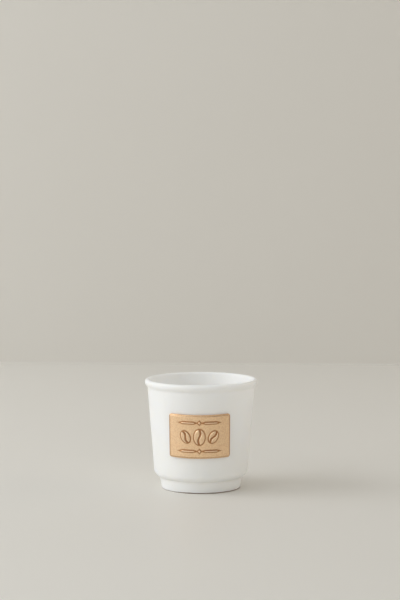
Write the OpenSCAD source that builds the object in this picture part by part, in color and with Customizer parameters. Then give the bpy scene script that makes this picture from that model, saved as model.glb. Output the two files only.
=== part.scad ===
// Handleless espresso cup with a rolled lip, a stepped foot and a curved metal label.
// The cup stands on z = 0 with its axis on Z, and the label faces -Y. Lengths are in millimetres.

/* [Cup] */
// Height from the table to the top of the lip
cup_h = 60.5; // [52:0.5:80]
// Outer diameter across the lip
lip_d = 62; // [54:0.5:84]
// Radius of the lip from its top to its widest line
lip_r = 1.4; // [1:0.05:2.4]
// Radius of the lip below its widest line
lip_low_r = 3.2; // [2:0.1:4]
// Radius of the lip from its top to the inside
lip_in_r = 1.1; // [0.8:0.05:2.5]
// How far the lip stands out from the wall
lip_out = 1.2; // [0.6:0.05:1.8]
// Radius of the hollow under the lip
lip_hollow_r = 2.4; // [1.5:0.1:6]
// Thickness of the wall at the floor, from where it thins towards the lip
wall_t = 3; // [2:0.1:4.5]
// Lean of the wall's outer face from upright, in degrees
wall_lean = 4.5; // [2:0.25:8]
// Radius of the shoulder above the foot
shoulder_r = 4.2; // [3:0.1:5.5]
// Thickness of the floor above the recess
floor_t = 4; // [3:0.1:6]
// Radius inside, between the wall and the floor
inner_corner_r = 6; // [4:0.25:9]

/* [Foot] */
// Height of the foot, up to the underside of the shoulder
foot_h = 6.4; // [4:0.1:9]
// How far the top of the foot stands in from the wall
foot_step = 2.85; // [2:0.05:4.5]
// Lean of the foot's side from upright, in degrees
foot_lean = 9.5; // [0:0.5:14]
// Radius of the hollow between the foot and the shoulder
foot_hollow_r = 0.8; // [0.4:0.1:1.5]
// Width of the ring that stands on the table
ring_w = 3.2; // [2.4:0.1:5]
// Radius of the ring's two edges
ring_edge_r = 0.6; // [0.2:0.05:0.8]
// Height of the recess inside the ring
recess_h = 2.2; // [2:0.1:3.5]
// Lean of the recess's side from upright, in degrees
recess_lean = 15; // [5:1:30]
// Radius of the recess's inner corner
recess_corner_r = 0.8; // [0.4:0.1:1.2]

/* [Label] */
// Width of the label, measured round the curve
label_w = 35.5; // [26:0.5:42]
// Height of the label, measured along the wall
label_h = 24; // [20:0.5:30]
// Thickness of the label
label_t = 1.2; // [0.9:0.05:2]
// Radius of the label's corners
label_corner_r = 1.1; // [1:0.1:4]
// Width of the low edge round the label
label_edge_w = 0.8; // [0.2:0.05:0.9]
// Drop of the low edge below the label's face
label_edge_drop = 0.4; // [0.2:0.05:0.6]
// How far the label's middle sits below the middle of the straight wall
label_drop = 0.5; // [-3:0.1:3]

/* [Adhesive] */
// Thickness of the adhesive film
film_t = 0.25; // [0.1:0.05:0.6]
// How far the film stays inside the label's outline
film_margin = 0.8; // [0.4:0.1:3]
// Radius of the film's corners
film_corner_r = 1; // [0.5:0.1:2]

/* [Emblem] */
// Height of the emblem above the label's face
emblem_h = 0.6; // [0.15:0.05:0.8]
// Length of the middle bean
bean_l = 8.6; // [6:0.2:10]
// Width of the middle bean
bean_w = 6; // [4:0.2:6.6]
// Length of the side beans
side_bean_l = 7; // [5:0.2:8]
// Width of the side beans
side_bean_w = 4.8; // [3.4:0.2:5.4]
// Tilt of the side beans from upright, in degrees
side_bean_tilt = 28; // [0:1:40]
// Distance from the middle bean to each side bean
bean_pitch = 7.6; // [7.4:0.1:9]
// Width of the groove along a bean
groove_w = 0.7; // [0.4:0.05:1]
// How far the groove sways to each side
groove_sway = 0.6; // [0:0.1:1]
// Length of each half of a rule
rule_l = 9; // [6:0.2:10]
// Width of a rule
rule_w = 0.9; // [0.5:0.05:1.2]
// Length of the points at a rule's ends
rule_tip = 1.5; // [0.5:0.1:2.5]
// Gap in the middle of a rule, for its diamond
rule_gap = 3.6; // [3:0.1:5]
// Width across the diamond's corners
diamond_w = 1.9; // [1.2:0.1:2.4]
// Distance of the rules from the label's middle
rule_rise = 7.8; // [6.6:0.1:8.2]

/* [Hidden] */

// Angle between the points of a round stretch, and of the label's small corners
arc_step = 5;
corner_step = 15;
// Points nearer than this are the same point
least_step = 0.001;
// Points on each side of a bean
bean_points = 10;
// Segments of the circle round the cup's axis
turn_fn = 96;

// Middles of the lip's rounds, as radius and height. The lip is highest above the first two.
lip_c = [lip_d / 2 - lip_r, cup_h - lip_r];
lip_in_c = [lip_c.x, cup_h - lip_in_r];
lip_low_c = [lip_d / 2 - lip_low_r, lip_c.y];
// Radius of the wall's outer face at a height
function wall_at(z) = lip_d / 2 - lip_out + (z - lip_c.y) * tan(wall_lean);
// Directions up the wall and out of it
wall_up = [sin(wall_lean), cos(wall_lean)];
wall_out = [cos(wall_lean), -sin(wall_lean)];

// The hollow under the lip touches the wall's outer face and the lip's lower round
lip_hollow_out = (lip_low_r - lip_out) * cos(wall_lean) + lip_hollow_r;
lip_hollow_down = sqrt(pow(lip_low_r + lip_hollow_r, 2) - pow(lip_hollow_out, 2));
lip_hollow_c = lip_low_c + lip_hollow_out * wall_out - lip_hollow_down * wall_up;

// The shoulder touches the wall's outer face and the underside
shoulder_z = foot_h + shoulder_r;
shoulder_c = [wall_at(shoulder_z) - shoulder_r / cos(wall_lean), shoulder_z];

// The foot's side runs from the table to the underside of the shoulder
foot_r = wall_at(foot_h) - foot_step - foot_h * tan(foot_lean);
foot_up = [sin(foot_lean), cos(foot_lean)];
foot_out = [cos(foot_lean), -sin(foot_lean)];

// The hollow above the foot touches its side and the shoulder's round, or the flat underside
// where the foot stands in far enough to leave one
hollow_from = [foot_r, 0] + foot_hollow_r * foot_out - shoulder_c;
hollow_reach = hollow_from * foot_up;
hollow_side = hollow_from * hollow_from - pow(shoulder_r + foot_hollow_r, 2);
hollow_on_round = [foot_r, 0] + foot_hollow_r * foot_out
    - (hollow_reach + sqrt(max(0, pow(hollow_reach, 2) - hollow_side))) * foot_up;
hollow_z = foot_h - foot_hollow_r;
hollow_on_flat = [foot_r + hollow_z * tan(foot_lean) + foot_hollow_r / cos(foot_lean), hollow_z];
flat_underside = hollow_on_round.x < shoulder_c.x;
foot_hollow_c = flat_underside ? hollow_on_flat : hollow_on_round;
underside_angle = flat_underside ? -90 : angle_of(foot_hollow_c - shoulder_c);

// The ring's outer and inner edge, and the recess's corner
ring_out_c = [foot_r + ring_edge_r * tan(foot_lean) - ring_edge_r / cos(foot_lean), ring_edge_r];
recess_r = foot_r - ring_w;
ring_in_c = [recess_r - ring_edge_r * tan(recess_lean) + ring_edge_r / cos(recess_lean), ring_edge_r];
recess_z = recess_h - recess_corner_r;
recess_c = [recess_r - recess_z * tan(recess_lean) - recess_corner_r / cos(recess_lean), recess_z];

// The wall's inner face starts at the floor and touches the lip's inner half
floor_z = recess_h + floor_t;
inner_low = [wall_at(floor_z) - wall_t, floor_z];
inner_reach = lip_in_c - inner_low;
inner_lean = 90 - angle_of(inner_reach) - asin(lip_in_r / norm(inner_reach));
// The inner corner touches the wall's inner face and the floor
inner_c = [inner_low.x - inner_corner_r * (1 - sin(inner_lean)) / cos(inner_lean), floor_z + inner_corner_r];

// The straight stretch of the wall, and the label's middle on it
straight_low = shoulder_c.y - shoulder_r * sin(wall_lean);
straight_high = lip_hollow_c.y + lip_hollow_r * sin(wall_lean);
label_z = (straight_low + straight_high) / 2 - label_drop;
// The label's layers, measured out from the wall
label_low = film_t;
label_face = film_t + label_t;
label_mid = film_t + (label_t - label_edge_drop) / 2;
emblem_face = label_face + emblem_h;
// The label's width straight across, once it is curved to the wall
face_r = wall_at(label_z) + label_face;
label_span = 2 * face_r * sin(label_w / face_r * 90 / PI);
// How far the label's ends lie behind its middle
label_sag = face_r - sqrt(pow(face_r, 2) - pow(label_span / 2, 2));
// Spare depth before and behind the label, so that its outline cuts right through it
cut_spare = 2 * emblem_face;

function angle_of(v) = atan2(v.y, v.x);
// Points on a round stretch, from one angle to another
function arc(c, r, from, to, step = arc_step) =
    let (n = max(1, ceil(abs(to - from) / step)))
    [for (i = [0:n]) let (a = from + (to - from) * i / n) c + r * [cos(a), sin(a)]];
// The points without any that repeats the one before it, as where two round stretches meet
function distinct(points) =
    [for (i = [0:len(points) - 1]) if (i == 0 || norm(points[i] - points[i - 1]) > least_step) points[i]];

// Half section of the cup: under the foot, up the outside, over the lip and down the inside
module cup_section() {
    polygon(distinct(concat(
        [[0, recess_h]],
        arc(recess_c, recess_corner_r, 90, recess_lean),
        arc(ring_in_c, ring_edge_r, 180 + recess_lean, 270),
        arc(ring_out_c, ring_edge_r, -90, -foot_lean),
        arc(foot_hollow_c, foot_hollow_r, 180 - foot_lean, 180 + underside_angle),
        arc(shoulder_c, shoulder_r, underside_angle, -wall_lean),
        arc(lip_hollow_c, lip_hollow_r, 180 - wall_lean, angle_of(lip_low_c - lip_hollow_c)),
        arc(lip_low_c, lip_low_r, angle_of(lip_hollow_c - lip_low_c), 0),
        arc(lip_c, lip_r, 0, 90),
        arc(lip_in_c, lip_in_r, 90, 180 - inner_lean),
        arc(inner_c, inner_corner_r, -inner_lean, -90),
        [[0, floor_z]]
    )));
}

module cup_body() {
    color("#f0efeb") rotate_extrude($fn = turn_fn) cup_section();
}

// A layer on the straight wall, between two distances out from its face
module wall_layer(low, high) {
    rotate_extrude($fn = turn_fn)
        polygon([
            [wall_at(straight_low) + low / cos(wall_lean), straight_low],
            [wall_at(straight_low) + high / cos(wall_lean), straight_low],
            [wall_at(straight_high) + high / cos(wall_lean), straight_high],
            [wall_at(straight_high) + low / cos(wall_lean), straight_high]
        ]);
}

// A flat outline, cut square to the wall's front into a layer on the wall
module wrapped(low, high) {
    intersection() {
        wall_layer(low, high);
        translate([0, -wall_at(label_z), label_z])
            rotate([90 + wall_lean, 0, 0])
                translate([0, 0, -label_sag - cut_spare])
                    linear_extrude(label_sag + 2 * cut_spare) children();
    }
}

// A rectangle with round corners
module rounded(w, h, r) {
    x = w / 2 - r;
    y = h / 2 - r;
    polygon(concat(
        arc([x, -y], r, -90, 0, corner_step),
        arc([x, y], r, 0, 90, corner_step),
        arc([-x, y], r, 90, 180, corner_step),
        arc([-x, -y], r, 180, 270, corner_step)
    ));
}

// One half of a bean: its rounded side, then back along the groove
module half_bean(l, w) {
    turns = [for (i = [0:bean_points]) -90 + 180 * i / bean_points];
    groove = [for (a = turns) [groove_w / 2 + groove_sway * sin(180 * sin(a)), l / 2 * sin(a)]];
    side = [for (a = turns) [w / 2 * cos(a), l / 2 * sin(a)]];
    polygon(concat(
        [for (i = [1:bean_points - 1]) if (side[i].x > groove[i].x) side[i]],
        [for (i = [bean_points - 1:-1:1]) if (side[i].x > groove[i].x) groove[i]]
    ));
}

module bean(l, w) {
    half_bean(l, w);
    rotate(180) half_bean(l, w);
}

// A rule of two pointed bars with a diamond between them
module rule() {
    start = rule_gap / 2;
    end = start + rule_l;
    for (s = [-1, 1])
        polygon([
            [s * start, 0],
            [s * (start + rule_tip), rule_w / 2],
            [s * (end - rule_tip), rule_w / 2],
            [s * end, 0],
            [s * (end - rule_tip), -rule_w / 2],
            [s * (start + rule_tip), -rule_w / 2]
        ]);
    d = diamond_w / 2;
    polygon([[d, 0], [0, d], [-d, 0], [0, -d]]);
}

module emblem() {
    bean(bean_l, bean_w);
    for (s = [-1, 1]) {
        translate([s * bean_pitch, 0]) rotate(-s * side_bean_tilt) bean(side_bean_l, side_bean_w);
        translate([0, s * rule_rise]) rule();
    }
}

module label_plate() {
    color("#c9a076") union() {
        wrapped(label_low, label_face - label_edge_drop)
            rounded(label_span, label_h, label_corner_r);
        wrapped(label_mid, label_face)
            rounded(label_span - 2 * label_edge_w, label_h - 2 * label_edge_w,
                label_corner_r - label_edge_w);
        wrapped(label_mid, emblem_face)
            emblem();
    }
}

module adhesive_film() {
    color("#d9d3c3")
        wrapped(0, film_t)
            rounded(label_span - 2 * film_margin, label_h - 2 * film_margin, film_corner_r);
}

cup_body();
label_plate();
adhesive_film();
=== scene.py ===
# %% [markdown]
# # A white espresso cup with a copper-coloured label
# This lesson dresses a small cup without a handle. Its construction and its real sizes come from a packed
# model, which is loaded first and never moved. The lesson adds what the eye sees: a satin glaze, a bare
# fired ring under the foot whose dark colour also paints the contact shadow there, and a struck metal
# label with a raised emblem of coffee beans.

# %% Load the imported model
import math

import bmesh
import bpy
import numpy as np
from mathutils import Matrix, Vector


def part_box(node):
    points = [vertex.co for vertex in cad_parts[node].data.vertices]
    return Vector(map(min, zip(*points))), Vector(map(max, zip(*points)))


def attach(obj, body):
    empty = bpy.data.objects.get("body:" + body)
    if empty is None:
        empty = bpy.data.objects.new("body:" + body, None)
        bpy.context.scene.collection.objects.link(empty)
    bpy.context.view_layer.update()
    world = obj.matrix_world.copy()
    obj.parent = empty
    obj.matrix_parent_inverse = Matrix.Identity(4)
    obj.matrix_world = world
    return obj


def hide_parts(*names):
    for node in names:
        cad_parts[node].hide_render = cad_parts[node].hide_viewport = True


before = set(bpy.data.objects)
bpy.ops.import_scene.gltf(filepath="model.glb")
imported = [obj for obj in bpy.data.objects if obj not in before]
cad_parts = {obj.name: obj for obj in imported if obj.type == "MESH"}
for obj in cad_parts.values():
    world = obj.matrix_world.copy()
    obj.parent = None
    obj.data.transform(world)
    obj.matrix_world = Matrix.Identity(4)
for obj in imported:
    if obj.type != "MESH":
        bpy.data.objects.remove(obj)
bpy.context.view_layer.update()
mm = 0.001


print("nodes:", sorted(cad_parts))

# %% [markdown]
# ## The cup's section
# A cup is turned or cast, so it is round about one axis, and half of its section says everything. The
# section could be drawn point by point, but a potter's profile is a few round stretches joined by
# straight ones. So each round stretch is worked out here from the two things that it touches: the
# hollow under the lip touches the wall and the lip, and the shoulder touches the wall and the underside.

# %% Sizes of the cup
cup_low, cup_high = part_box("cup_body")
lip_d = cup_high.x - cup_low.x
cup_h = cup_high.z - cup_low.z
lip_r = 1.4 * mm
lip_low_r = 3.2 * mm
lip_in_r = 1.1 * mm
lip_out = 1.2 * mm
lip_hollow_r = 2.4 * mm
wall_t = 3 * mm
wall_lean = math.radians(4.5)
shoulder_r = 4.2 * mm
floor_t = 4 * mm
inner_corner_r = 6 * mm
foot_h = 6.4 * mm
foot_step = 2.85 * mm
foot_lean = math.radians(9.5)
foot_hollow_r = 0.8 * mm
ring_w = 3.2 * mm
ring_edge_r = 0.6 * mm
recess_h = 2.2 * mm
recess_lean = math.radians(15)
recess_corner_r = 0.8 * mm
print("lip", round(lip_d / mm, 2), "mm across, cup", round(cup_h / mm, 2), "mm high")

# %% Directions in the section
quarter = math.pi / 2


def turned(angle):
    """A step of length 1 in the section, at an angle from straight out."""
    return Vector((math.cos(angle), math.sin(angle)))


def angle_of(step):
    """The angle of a step in the section, from straight out."""
    return math.atan2(step.y, step.x)


wall_out = turned(-wall_lean)
wall_up = turned(quarter - wall_lean)
foot_out = turned(-foot_lean)
foot_up = turned(quarter - foot_lean)
print("wall leans", round(math.degrees(wall_lean), 1), "degrees, foot", round(math.degrees(foot_lean), 1))

# %% The lip and the hollow under it
lip_c = Vector((lip_d / 2 - lip_r, cup_h - lip_r))
lip_in_c = Vector((lip_c.x, cup_h - lip_in_r))
lip_low_c = Vector((lip_d / 2 - lip_low_r, lip_c.y))
hollow_out = (lip_low_r - lip_out) * math.cos(wall_lean) + lip_hollow_r
hollow_down = math.sqrt((lip_low_r + lip_hollow_r) ** 2 - hollow_out**2)
lip_hollow_c = lip_low_c + hollow_out * wall_out - hollow_down * wall_up
print("hollow under the lip is", round(lip_hollow_c.y / mm, 2), "mm up")


# %% The shoulder and the foot
def wall_at(z):
    """Radius of the wall's outer face at a height."""
    return lip_d / 2 - lip_out + (z - lip_c.y) * math.tan(wall_lean)


shoulder_z = foot_h + shoulder_r
shoulder_c = Vector((wall_at(shoulder_z) - shoulder_r / math.cos(wall_lean), shoulder_z))
foot_r = wall_at(foot_h) - foot_step - foot_h * math.tan(foot_lean)
hollow_start = Vector((foot_r, 0)) + foot_hollow_r * foot_out
to_start = hollow_start - shoulder_c
reach = to_start.dot(foot_up)
spare = reach**2 - to_start.length_squared + (shoulder_r + foot_hollow_r) ** 2
foot_hollow_c = hollow_start - (reach + math.sqrt(spare)) * foot_up
print("foot", round(2 * foot_r / mm, 2), "mm across")

# %% The standing ring, the recess and the inside
ring_out_x = foot_r + ring_edge_r * math.tan(foot_lean) - ring_edge_r / math.cos(foot_lean)
ring_out_c = Vector((ring_out_x, ring_edge_r))
recess_r = foot_r - ring_w
ring_in_x = recess_r - ring_edge_r * math.tan(recess_lean) + ring_edge_r / math.cos(recess_lean)
ring_in_c = Vector((ring_in_x, ring_edge_r))
recess_z = recess_h - recess_corner_r
recess_x = recess_r - recess_z * math.tan(recess_lean) - recess_corner_r / math.cos(recess_lean)
recess_c = Vector((recess_x, recess_z))

floor_z = recess_h + floor_t
inner_low = Vector((wall_at(floor_z) - wall_t, floor_z))
inner_reach = lip_in_c - inner_low
inner_lean = quarter - angle_of(inner_reach) - math.asin(lip_in_r / inner_reach.length)
inner_x = inner_low.x - inner_corner_r * (1 - math.sin(inner_lean)) / math.cos(inner_lean)
inner_c = Vector((inner_x, floor_z + inner_corner_r))
print("inside leans", round(math.degrees(inner_lean), 2), "degrees")

# %% [markdown]
# ## The porcelain cup
# The body is one piece of fired porcelain. A lathe (Screw) modifier would also do, but drawing the
# section with the spin operator gives true arcs: spinning a single vertex about a middle leaves an arc
# behind it. The finished section is then spun once more, all the way round the cup's axis, and the ends
# are merged so that the glaze has no seam.


# %% A line that grows stroke by stroke
class Section:
    """A line in the XZ plane that grows from its tip."""

    arc_step = math.radians(3)
    least_arc_steps = 3
    line_step = 1.6 * mm
    slack = 1e-3

    def __init__(self, r, z):
        self.bm = bmesh.new()
        self.tip = self.bm.verts.new((r, 0, z))

    def line_to(self, r, z):
        """Draws a straight line in short steps."""
        start = self.tip.co.copy()
        end = Vector((r, 0, z))
        steps = math.ceil((end - start).length / self.line_step - self.slack)
        for step in range(1, steps + 1):
            self.tip = bmesh.ops.extrude_vert_indiv(self.bm, verts=[self.tip])["verts"][0]
            self.tip.co = start.lerp(end, step / steps)

    def arc(self, middle, radius, start, end):
        """Draws a line to the place where an arc starts, and then the arc."""
        self.line_to(*(middle + radius * turned(start)))
        swept = bmesh.ops.spin(
            self.bm,
            geom=[self.tip],
            cent=(middle.x, 0, middle.y),
            axis=(0, -1, 0),
            angle=end - start,
            steps=max(self.least_arc_steps, math.ceil(abs(end - start) / self.arc_step)),
        )
        self.tip = next(e for e in swept["geom_last"] if isinstance(e, bmesh.types.BMVert))


# %% Draw the section
under_angle = angle_of(foot_hollow_c - shoulder_c)
lip_angle = angle_of(lip_hollow_c - lip_low_c)
section = Section(0, recess_h)
section.arc(recess_c, recess_corner_r, quarter, recess_lean)
section.arc(ring_in_c, ring_edge_r, 2 * quarter + recess_lean, 3 * quarter)
section.arc(ring_out_c, ring_edge_r, -quarter, -foot_lean)
section.arc(foot_hollow_c, foot_hollow_r, 2 * quarter - foot_lean, 2 * quarter + under_angle)
section.arc(shoulder_c, shoulder_r, under_angle, -wall_lean)
section.arc(lip_hollow_c, lip_hollow_r, 2 * quarter - wall_lean, 2 * quarter + lip_angle)
section.arc(lip_low_c, lip_low_r, lip_angle, 0)
section.arc(lip_c, lip_r, 0, quarter)
section.arc(lip_in_c, lip_in_r, quarter, 2 * quarter - inner_lean)
section.arc(inner_c, inner_corner_r, -inner_lean, -quarter)
section.line_to(0, floor_z)
print("section:", len(section.bm.verts), "points")

# %% Spin the section into the cup
turn_steps = 224
merge_gap = 0.002 * mm


def finished(bm, name, node):
    """Closes a mesh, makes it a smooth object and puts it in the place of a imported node."""
    bmesh.ops.remove_doubles(bm, verts=bm.verts[:], dist=merge_gap)
    bmesh.ops.recalc_face_normals(bm, faces=bm.faces[:])
    open_edges = sum(not edge.is_manifold for edge in bm.edges)
    mesh = bpy.data.meshes.new(name)
    bm.to_mesh(mesh)
    bm.free()
    mesh.shade_smooth()
    piece = bpy.data.objects.new(name, mesh)
    bpy.context.scene.collection.objects.link(piece)
    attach(piece, "root")
    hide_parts(node)
    print(name, "has", len(mesh.polygons), "faces and", open_edges, "open edges")
    return piece


bmesh.ops.spin(
    section.bm,
    geom=section.bm.verts[:] + section.bm.edges[:],
    cent=(0, 0, 0),
    axis=(0, 0, 1),
    angle=2 * math.pi,
    steps=turn_steps,
    use_merge=True,
)
porcelain_cup = finished(section.bm, "porcelain_cup", "cup_body")

# %% [markdown]
# ## The metal label
# The label is a small plate with a low step along its edge, struck with its emblem while flat and then
# bent to the cup. It is made much in that order here: a fine flat grid is laid out, its rim is extruded
# over a small round, down to the step and on to the back, the emblem is raised in the grid, and last the
# whole plate is wrapped on the cone of the wall. The back is cut into upright strips so that it bends too.
# Modelling the emblem as separate lumps would be lighter, but they would meet the plate in hard seams,
# and a struck plate has none.

# %% Sizes of the label
label_w = 35.5 * mm
label_h = 24 * mm
label_t = 1.2 * mm
label_corner_r = 1.1 * mm
label_edge_w = 0.8 * mm
label_edge_drop = 0.4 * mm
label_round_r = 0.25 * mm
film_t = 0.25 * mm
label_drop = 0.5 * mm
relief_step = 0.1 * mm

straight_low = shoulder_c.y - shoulder_r * math.sin(wall_lean)
straight_high = lip_hollow_c.y + lip_hollow_r * math.sin(wall_lean)
label_z = (straight_low + straight_high) / 2 - label_drop
rim_w = label_edge_w + label_round_r
face_w = label_w - 2 * rim_w
face_h = label_h - 2 * rim_w
face_corner_r = label_corner_r - rim_w
print("label middle at", round(label_z / mm, 2), "mm")

# %% Lay out a fine flat grid with round corners
columns = round(face_w / relief_step)
rows = round(face_h / relief_step)
plate = bmesh.new()
hollow_layer = plate.verts.layers.float.new("hollow")
rub_and_highlight_layer = plate.verts.layers.float.new("rub_and_highlight")
bmesh.ops.create_grid(plate, x_segments=columns, y_segments=rows, size=1)
bmesh.ops.scale(plate, vec=(face_w / 2, face_h / 2, 1), verts=plate.verts[:])


def core_point(co, width, height, corner):
    """The nearest point of the rectangle through the middles of the round corners."""
    x = max(corner - width / 2, min(width / 2 - corner, co.x))
    y = max(corner - height / 2, min(height / 2 - corner, co.y))
    return Vector((x, y, 0))


for vert in plate.verts:
    core = core_point(vert.co, face_w, face_h, face_corner_r)
    step = vert.co - core
    if step.length > 0:
        vert.co = core + step * (max(abs(step.x), abs(step.y)) / step.length)
print("grid of", columns, "by", rows)

# %% Ways to grow the rim
round_steps = 4
# The stepped edge keeps more patina at the sides than at the top and bottom, which paints the shade the side
# edges show.
edge_wiped_and_lit = 0.6


def grow_rim(bm, rim, out, drop, patina, highlight_share=0):
    """Extrudes a rim, and sets its new line this far out from the face's edge and down from it."""
    grown = bmesh.ops.extrude_edge_only(bm, edges=rim)["geom"]
    for vert in [e for e in grown if isinstance(e, bmesh.types.BMVert)]:
        core = core_point(vert.co, face_w, face_h, face_corner_r)
        flat = Vector((vert.co.x, vert.co.y, 0)) - core
        vert.co = core + flat.normalized() * (face_corner_r + out)
        vert.co.z = -drop
        vert[hollow_layer] = patina * (1 - edge_wiped_and_lit * abs(flat.normalized().y))
        vert[rub_and_highlight_layer] = highlight_share
    return [e for e in grown if isinstance(e, bmesh.types.BMEdge) and e.is_boundary]


def round_over(bm, rim, out, drop, patina, highlight_share=0):
    """Turns a rim from level to upright along a small round that starts at a place outside the face."""
    for step in range(1, round_steps + 1):
        angle = quarter * step / round_steps
        ahead = label_round_r * math.sin(angle)
        down = label_round_r * (1 - math.cos(angle))
        rim = grow_rim(bm, rim, out + ahead, drop + down, patina, highlight_share)
    return rim


# %% Step the rim down and close the back
face_edge_patina = 0.6
face_edge_rub_highlight = 0.3
riser_patina = 0.9
ledge_patina = 0.85
outer_edge_patina = 0.7
side_patina = 1
back_strips = 40

rim = [edge for edge in plate.edges if edge.is_boundary]
rim = round_over(plate, rim, 0, 0, face_edge_patina, face_edge_rub_highlight)
rim = grow_rim(plate, rim, label_round_r, label_edge_drop, riser_patina)
rim = grow_rim(plate, rim, label_edge_w, label_edge_drop, ledge_patina)
rim = round_over(plate, rim, label_edge_w, label_edge_drop, outer_edge_patina)
rim = grow_rim(plate, rim, rim_w, label_t, side_patina)
back = bmesh.ops.contextual_create(plate, geom=rim)["faces"]
for strip in range(1, back_strips):
    cut = face_w * (strip / back_strips - 0.5)
    around = {part for face in back for part in [face, *face.edges, *face.verts]}
    split = bmesh.ops.bisect_plane(plate, geom=list(around), plane_co=(cut, 0, 0), plane_no=(1, 0, 0))
    back = [part for part in split["geom"] if isinstance(part, bmesh.types.BMFace)]
print("plate has", len(plate.faces), "faces,", len(back), "on its back")

# %% [markdown]
# ## The emblem
# Three coffee beans stand in a row between two rules, and each rule is two pointed bars with a diamond
# between them. Every form is written as a distance: how far a point of the plate lies inside the form's
# outline. A quarter of an ellipse turns that distance into a height, which gives every form the rounded
# shoulders that metal takes from a die. The same distance says where the hollows are in which dark patina
# stays behind, and which edges are rubbed to a paler copper, as wear and as painted highlights.

# %% Sizes of the emblem
emblem_h = 0.6 * mm
bean_l = 8.6 * mm
bean_w = 6 * mm
side_bean_l = 7 * mm
side_bean_w = 4.8 * mm
side_bean_tilt = math.radians(28)
bean_pitch = 7.6 * mm
groove_w = 0.7 * mm
groove_sway = 0.6 * mm
rule_l = 9 * mm
rule_w = 0.9 * mm
rule_tip = 1.5 * mm
rule_gap = 3.6 * mm
rule_rise = 7.8 * mm
diamond_w = 1.9 * mm
print("rules", round((rule_gap + 2 * rule_l) / mm, 2), "mm long, emblem", round(emblem_h / mm, 2), "mm high")


# %% Distances inside the emblem's forms
bean_round = 1.1 * mm
rule_round = 0.5 * mm
least_slope = 1
tiny = 1e-9


def inside_bean(x, y, length, width, tilt):
    """Distance inside the nearer half of a bean, with its swaying groove left out."""
    across = math.cos(tilt) * x + math.sin(tilt) * y
    along = math.cos(tilt) * y - math.sin(tilt) * x
    q = np.hypot(across / (width / 2), along / (length / 2)) + tiny
    slope = np.hypot(across / (width / 2) ** 2, along / (length / 2) ** 2) / q
    groove = groove_sway * np.sin(2 * np.pi * along / length)
    return np.minimum((1 - q) / np.maximum(slope, least_slope), np.abs(across - groove) - groove_w / 2)


def inside_rule(x, y):
    """Distance inside one of a rule's two pointed bars, or inside the diamond between them."""
    to_end = rule_l / 2 - np.abs(np.abs(x) - (rule_gap + rule_l) / 2)
    bar = rule_w / 2 * np.minimum(1, to_end / rule_tip) - np.abs(y)
    diamond = (diamond_w / 2 - np.abs(x) - np.abs(y)) / math.sqrt(2)
    return np.maximum(bar, diamond)


def emblem_forms(x, y):
    """Each form's distance, with the width of its rounded shoulders."""
    yield inside_bean(x, y, bean_l, bean_w, 0), bean_round
    for side in (-1, 1):
        tilt = -side * side_bean_tilt
        yield inside_bean(x - side * bean_pitch, y, side_bean_l, side_bean_w, tilt), bean_round
        yield inside_rule(x, y - side * rule_rise), rule_round


# %% Raise the emblem
face_verts = [vert for vert in plate.verts if vert.co.z == 0]
flat_x = np.array([vert.co.x for vert in face_verts])
flat_y = np.array([vert.co.y for vert in face_verts])
rise = np.zeros_like(flat_x)
inside = np.full_like(flat_x, -1)
for form_inside, round_w in emblem_forms(flat_x, flat_y):
    short = 1 - np.clip(form_inside / round_w, 0, 1)
    rise = np.maximum(rise, emblem_h * np.sqrt(1 - short * short))
    inside = np.maximum(inside, form_inside)
print("raised", int(np.count_nonzero(rise)), "of", len(face_verts), "points")

# %% Keep the heights, the patina, and the wear with its painted highlights on the plate
patina_w = 0.7 * mm
patina_fade = 0.45 * mm
rub_w = 0.19 * mm
dark_end = 1.5
highlight_end = 3

rubs_in = inside / rub_w
dark = np.clip((patina_w + inside) / patina_fade, 0, 1) * np.clip(dark_end - rubs_in, 0, 1)
# A band just inside each form's edge is rubbed paler, as wear and as a painted highlight.
rub_highlight = np.clip(rubs_in - 1, 0, 1) * np.clip(highlight_end - rubs_in, 0, 1)
for vert, height, dim, highlight_value in zip(face_verts, rise, dark, rub_highlight):
    vert.co.z = height
    vert[hollow_layer] = dim
    vert[rub_and_highlight_layer] = highlight_value
print("patina on", int(np.count_nonzero(dark)), "points, wear on", int(np.count_nonzero(rub_highlight)))

# %% Wrap the plate on the wall
cone_sin = math.sin(wall_lean)
cone_cos = math.cos(wall_lean)
face_r = wall_at(label_z) + (film_t + label_t) * cone_cos
face_z = label_z - (film_t + label_t) * cone_sin
slant = face_r / cone_sin


def wrapped(flat):
    """A point of the flat plate, bent to the cone about the cup's axis without stretching it."""
    reach = math.hypot(flat.x, slant + flat.y)
    bearing = math.atan2(flat.x, slant + flat.y) / cone_sin
    radius = reach * cone_sin + flat.z * cone_cos
    height = face_z + (reach - slant) * cone_cos - flat.z * cone_sin
    return Vector((radius * math.sin(bearing), -radius * math.cos(bearing), height))


for vert in plate.verts:
    vert.co = wrapped(vert.co)
metal_label = finished(plate, "metal_label", "label_plate")

# %% [markdown]
# ## A way to write materials
# Node trees built call by call are hard to read. Here a number on its way through a material is wrapped,
# so that sums and products are written as usual and add their own Math nodes. Every other node comes
# from one method.


# %% Values
class Value:
    """A socket in a material, with the usual signs of arithmetic."""

    def __init__(self, finish, socket):
        self.finish = finish
        self.socket = socket

    def math(self, operation, *others):
        return self.finish.add("ShaderNodeMath", {"operation": operation}, dict(enumerate((self, *others))))

    def __add__(self, other):
        return self.math("ADD", other)

    def __mul__(self, other):
        return self.math("MULTIPLY", other)

    def __sub__(self, other):
        return self.math("SUBTRACT", other)

    def __rsub__(self, other):
        return self.math("MULTIPLY", -1).math("ADD", other)

    __radd__ = __add__
    __rmul__ = __mul__

    def between(self, low, high):
        """0 up to low, 1 from high, and a soft step between them."""
        return self.finish.add(
            "ShaderNodeMapRange",
            {"interpolation_type": "SMOOTHSTEP"},
            {"Value": self, "From Min": low, "From Max": high},
        )


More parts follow.
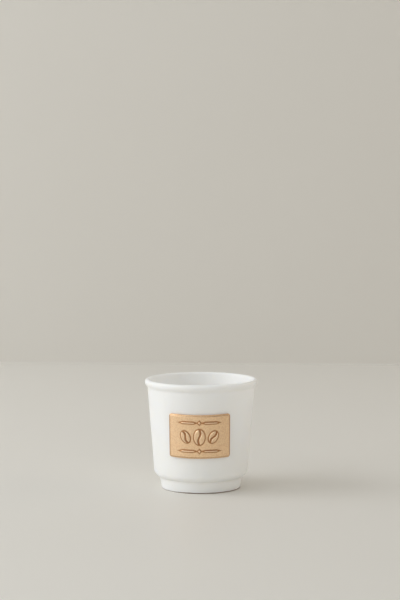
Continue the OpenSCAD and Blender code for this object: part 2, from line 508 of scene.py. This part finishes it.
# %% Finishes
class Finish:
    """A material with one Principled shader."""

    def __init__(self, name):
        self.material = bpy.data.materials.new(name)
        self.material.use_nodes = True
        self.tree = self.material.node_tree
        self.shader = self.tree.nodes["Principled BSDF"]
        self.place = self.add("ShaderNodeTexCoord", output="Object")

    def fill(self, socket, value):
        """Links a value to a socket, or sets a number or a colour on it."""
        if isinstance(value, Value):
            self.tree.links.new(value.socket, socket)
        else:
            socket.default_value = value

    def add(self, kind, settings={}, sockets={}, output=0):
        """Any node, by its kind, with its settings and then its sockets."""
        node = self.tree.nodes.new(kind)
        for name, value in settings.items():
            setattr(node, name, value)
        for name, value in sockets.items():
            self.fill(node.inputs[name], value)
        return Value(self, node.outputs[output])

    def noise(self, size, detail=2, roughness=0.5):
        """Soft noise with features of about this size."""
        sockets = {"Vector": self.place, "Scale": 1 / size, "Detail": detail, "Roughness": roughness}
        return self.add("ShaderNodeTexNoise", {}, sockets)

    def mix(self, share, first, second):
        """A colour between two colours."""
        sockets = {0: share, 6: first, 7: second}
        return self.add("ShaderNodeMix", {"data_type": "RGBA"}, sockets, output=2)

    def bump(self, height, depth):
        """A normal for a surface whose height swings by about this depth."""
        return self.add("ShaderNodeBump", {}, {"Height": height, "Distance": depth})

    def set(self, **sockets):
        """Fills the shader's own sockets."""
        for name, value in sockets.items():
            self.fill(self.shader.inputs[name.replace("_", " ")], value)


# %% [markdown]
# ## The satin glaze
# Porcelain lets light a few millimetres in, so the shader's subsurface part is on, and it softens the lip
# and the crease. The glaze over it is white and only half glossy, as if dusted. It varies a little: broad
# clouds of warmer and cooler white, a skin like orange peel that softens reflections, and a few specks. A
# greyer line in the crease above the foot is glaze that pools there and also painted shade. The standing
# ring is wiped before firing so that the cup doesn't stick to its shelf, which leaves bare, sandy clay
# below a slightly wavy glaze line; the clay is made dark to paint the contact shadow along the foot's
# base. On the left, which faces the window lamp, the glaze line is lower, so less of the dark band shows:
# that is painted light. A painted picture could hold all this too, but masks from height and noise need
# no unwrapping and stay sharp up close.

# %% Where the glaze clouds and ends, with painted shade in the crease and painted light on the left
glaze = Finish("satin_glaze")
across = glaze.add("ShaderNodeSeparateXYZ", {}, {0: glaze.place}, output="X")
height = glaze.add("ShaderNodeSeparateXYZ", {}, {0: glaze.place}, output="Z")
crease_z = foot_hollow_c.y
crease_reach = 1.4 * mm
glaze_line = 0.48 * mm
glaze_line_soft = 0.12 * mm
glaze_wave = 0.25 * mm
# The glaze line drops on the left, which faces the window lamp, so the dark band is fainter there: painted
# light.
lit_side_from = -17 * mm
lit_side_to = -7 * mm
lit_side_drop = 0.3 * mm

clouds = glaze.noise(24 * mm, detail=3)
peel = glaze.noise(1.3 * mm)
sand = glaze.noise(0.22 * mm, detail=4)
specks = glaze.noise(0.8 * mm, detail=0).between(0.82, 0.86)
# The crease is greyed as glaze that pools there, and the grey also paints the shade in the crease.
pooled_and_shaded = 1 - (height - crease_z).math("ABSOLUTE").between(0, crease_reach)
# Painted light: the glaze line is lowered on the lit left side.
lit_side_lift = 1 - across.between(lit_side_from, lit_side_to)
waved = height + (glaze.noise(5 * mm) - 0.5) * glaze_wave + lit_side_lift * lit_side_drop
# The band below the glaze line is bare clay, and its dark colour also paints the contact shadow under the
# foot.
bare_and_shaded = 1 - waved.between(glaze_line, glaze_line + glaze_line_soft)
print("glaze line about", round(glaze_line / mm, 2), "mm above the table")

# %% Colours and skin of the glaze
cool_white = (0.935, 0.933, 0.92, 1)
warm_white = (0.913, 0.908, 0.888, 1)
# Pooled glaze grey, made darker so that it also paints the shade in the crease.
pool_and_shade_grey = (0.80, 0.785, 0.75, 1)
pool_and_shade_share = 0.25
speck_brown = (0.52, 0.45, 0.36, 1)
speck_share = 0.12
# Both clay colours are dark to paint the contact shadow along the foot's base, not only bare clay.
dark_clay_and_shadow = (0.235, 0.16, 0.12, 1)
light_clay_and_shadow = (0.37, 0.27, 0.205, 1)
glaze_rough = 0.36
skin_depth = 0.012 * mm
light_depth = 2.4 * mm

white = glaze.mix(clouds, cool_white, warm_white)
white = glaze.mix(pooled_and_shaded * pool_and_shade_share, white, pool_and_shade_grey)
white = glaze.mix(specks * speck_share, white, speck_brown)
clay_and_contact_shadow = glaze.mix(sand, dark_clay_and_shadow, light_clay_and_shadow)
skin = peel * (1 - bare_and_shaded) + sand * bare_and_shaded
glaze.set(
    Base_Color=glaze.mix(bare_and_shaded, white, clay_and_contact_shadow),
    Roughness=glaze_rough + clouds * 0.1 + peel * 0.06 + bare_and_shaded * 0.34,
    Normal=glaze.bump(skin, skin_depth),
    Subsurface_Weight=1.0,
    Subsurface_Radius=(1.0, 0.97, 0.9),
    Subsurface_Scale=light_depth,
)
porcelain_cup.data.materials.append(glaze.material)
print("glaze on", len(porcelain_cup.data.polygons), "faces")

# %% [markdown]
# ## The label's metal
# The label is copper-coloured metal under a thick, dull lacquer. Its face was blasted, which left a fine
# grain and small darker dimples. Dark patina stays in the hollows round the emblem and on the stepped
# edge. The edge keeps more of it at the sides than at the top and bottom, which paints the shade that the
# side edges show. The emblem's edges are rubbed to a paler copper, which is wear and also paints highlights
# on them. The masks for both were stored on the mesh when the plate was made, so they follow the
# relief exactly, whatever the light.

# %% Grain, dimples, patina, and wear with painted highlights
metal = Finish("copper_metal")
hollow = metal.add("ShaderNodeAttribute", {"attribute_name": "hollow"}, output="Fac")
rub_and_highlight = metal.add("ShaderNodeAttribute", {"attribute_name": "rub_and_highlight"}, output="Fac")
grain_size = 0.2 * mm
dimple_size = 0.75 * mm
stain_size = 2.6 * mm
crispness = 0.6

grain = metal.noise(grain_size, detail=4, roughness=crispness)
dimples = metal.noise(dimple_size, detail=3, roughness=crispness)
pits = dimples.between(0.4, 0.6)
stain = metal.noise(stain_size, detail=4, roughness=crispness).between(0.35, 0.75)
worn_and_highlit = rub_and_highlight * (0.6 + grain * 0.6)
print("dimples of about", round(dimple_size / mm, 2), "mm")

# %% Colours and lacquer of the metal
bright_copper = (1.0, 0.70, 0.395, 1)
warm_copper = (0.985, 0.665, 0.355, 1)
pit_copper = (0.76, 0.415, 0.17, 1)
pit_share = 0.42
patina_brown = (0.40, 0.14, 0.025, 1)
# Rubbed copper is wear, made paler so that it also paints highlights on the emblem's edges.
rubbed_highlight_copper = (1.0, 0.80, 0.55, 1)
metal_rough = 0.44
dimple_depth = 0.11 * mm

copper = metal.mix(stain, bright_copper, warm_copper)
copper = metal.mix(pits * pit_share, copper, pit_copper)
copper = metal.mix(hollow * (0.6 + grain * 0.4), copper, patina_brown)
copper = metal.mix(worn_and_highlit, copper, rubbed_highlight_copper)
metal.set(
    Base_Color=copper,
    Metallic=1.0,
    Roughness=metal_rough + grain * 0.1 + stain * 0.04 + hollow * 0.1 - worn_and_highlit * 0.16,
    Normal=metal.bump(grain * 0.3 + dimples, dimple_depth),
    Coat_Weight=1 - hollow * 0.8,
    Coat_IOR=2.3,
    Coat_Roughness=0.6,
)
metal_label.data.materials.append(metal.material)
print("metal on", len(metal_label.data.polygons), "faces")

# %% [markdown]
# ## The adhesive film
# Behind the label lies a thin film of adhesive, which shows only as a dull seam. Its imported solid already
# has the right shape, so it stays and only gets a finish: yellowish, cloudy and a little uneven.

# %% Write the film
pale_film = (0.66, 0.59, 0.46, 1)
dark_film = (0.54, 0.47, 0.35, 1)
film_rough = 0.42
ripple_depth = 0.02 * mm

film = Finish("cloudy_adhesive")
cloud = film.noise(3 * mm, detail=3)
ripple = film.noise(0.5 * mm)
film.set(
    Base_Color=film.mix(cloud, pale_film, dark_film),
    Roughness=film_rough + ripple * 0.2,
    Normal=film.bump(ripple, ripple_depth),
)
film_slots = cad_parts["adhesive_film"].material_slots
for slot in film_slots:
    slot.material = film.material
print("film has", len(film_slots), "slot")

# %% [markdown]
# ## Stage, light and camera
# A white cup needs a setting that isn't white, or its edge is lost. The floor and the backdrop are one
# sheet with a sharp bend behind the cup, papered in pale warm grey below and a shade darker above. Five
# soft lamps stand round the cup: a wide cool window on the left and a little in front, a skylight above
# it, a weak lamp overhead that lights the lip and the inside, a low one in front, and a warm reflector on
# the right. The sky fills the rest, so that the cup's right side is only a shade darker than its left.

# %% Bend a sheet into floor and backdrop
stage_half = 1.6
backdrop_y = 0.576
backdrop_h = 1.4
bend_r = 0.002

sheet = bmesh.new()
corner_points = [(0, -stage_half, 0), (0, backdrop_y, 0), (0, backdrop_y, backdrop_h)]
bends = [sheet.verts.new(point) for point in corner_points]
for first, second in zip(bends, bends[1:]):
    sheet.edges.new((first, second))
bmesh.ops.bevel(
    sheet,
    geom=[bends[1]],
    offset=bend_r,
    affect="VERTICES",
    segments=10,
    profile=0.5,
    material=-1,
)
bmesh.ops.translate(sheet, verts=sheet.verts[:], vec=(-stage_half, 0, 0))
grown = bmesh.ops.extrude_edge_only(sheet, edges=sheet.edges[:])["geom"]
far_side = [part for part in grown if isinstance(part, bmesh.types.BMVert)]
bmesh.ops.translate(sheet, verts=far_side, vec=(2 * stage_half, 0, 0))
bmesh.ops.recalc_face_normals(sheet, faces=sheet.faces[:])
backdrop_mesh = bpy.data.meshes.new("backdrop")
sheet.to_mesh(backdrop_mesh)
sheet.free()
backdrop_mesh.shade_smooth()
backdrop = bpy.data.objects.new("backdrop", backdrop_mesh)
bpy.context.scene.collection.objects.link(backdrop)
print("backdrop has", len(backdrop_mesh.polygons), "faces")

# %% Paper the floor and the backdrop
paper_cloud = 0.3
paper_rough = 0.5


def paper(name, light, dark):
    """Adds a paper between two colours to the sheet."""
    finish = Finish(name)
    tint = finish.mix(finish.noise(paper_cloud), light, dark)
    finish.set(Base_Color=tint, Roughness=paper_rough)
    backdrop_mesh.materials.append(finish.material)


paper("floor_paper", (0.80, 0.78, 0.732, 1), (0.768, 0.745, 0.695, 1))
paper("wall_paper", (0.728, 0.70, 0.647, 1), (0.698, 0.669, 0.614, 1))
for face in backdrop_mesh.polygons:
    face.material_index = int(face.center.z > 0)
print("papers:", [material.name for material in backdrop_mesh.materials])

# %% Fill with a soft sky
sky_strength = 0.257
world = bpy.data.worlds.new("soft_sky")
world.use_nodes = True
sky = world.node_tree.nodes["Background"]
sky.inputs["Color"].default_value = (1.0, 1.0, 1.0, 1)
sky.inputs["Strength"].default_value = sky_strength
bpy.context.scene.world = world
print("sky at", sky_strength)

# %% Hang the lamps
lamp_away = 1.2
near_axis = 0.1
cool = (0.95, 0.975, 1.0)
pale = (1.0, 0.985, 0.93)
plain = (0.99, 1.0, 0.93)
warm = (1.0, 0.91, 0.80)


def soft_lamp(name, bearing, height, width, tall, power, colour, away=lamp_away):
    """A wide lamp on a circle round the cup, at a bearing from straight in front, which faces the cup."""
    lamp = bpy.data.lights.new(name, "AREA")
    lamp.shape = "RECTANGLE"
    lamp.size = width
    lamp.size_y = tall
    lamp.energy = power
    lamp.color = colour
    stand = bpy.data.objects.new(name, lamp)
    angle = math.radians(bearing)
    stand.location = (away * math.sin(angle), -away * math.cos(angle), height)
    towards = Vector((0, 0, cup_h / 2)) - stand.location
    stand.rotation_euler = towards.to_track_quat("-Z", "Y").to_euler()
    stand.visible_camera = False
    bpy.context.scene.collection.objects.link(stand)
    print(name, "lamp of", power, "W")


soft_lamp("window", bearing=-72, height=0.62, width=1.8, tall=0.85, power=9.25, colour=cool)
soft_lamp("skylight", bearing=-85, height=1.0, width=0.8, tall=0.8, power=3.9, colour=cool)
soft_lamp("overhead", bearing=-90, height=1.3, width=1.0, tall=1.0, power=1.5, colour=pale, away=near_axis)
soft_lamp("front", bearing=0, height=0.5, width=1.2, tall=0.6, power=2.3, colour=plain)
soft_lamp("reflector", bearing=100, height=0.5, width=1.3, tall=0.9, power=4.35, colour=warm)

# %% Stand the camera
camera_away = 0.969
camera_h = 0.1829
camera_turn = math.radians(1.7)
camera_tilt = math.radians(4.653)
image_long = 600
focal_pixels = 1764.4
axis_right = 1.0

lens = bpy.data.cameras.new("camera")
lens.lens = focal_pixels * lens.sensor_width / image_long
camera = bpy.data.objects.new("camera", lens)
camera.location = (camera_away * math.sin(camera_turn), -camera_away * math.cos(camera_turn), camera_h)
camera.rotation_euler = (math.pi / 2 - camera_tilt, 0, camera_turn + axis_right / focal_pixels)
bpy.context.scene.collection.objects.link(camera)
bpy.context.scene.camera = camera
bpy.context.scene.view_settings.view_transform = "Standard"
print("lens", round(lens.lens, 1), "mm")
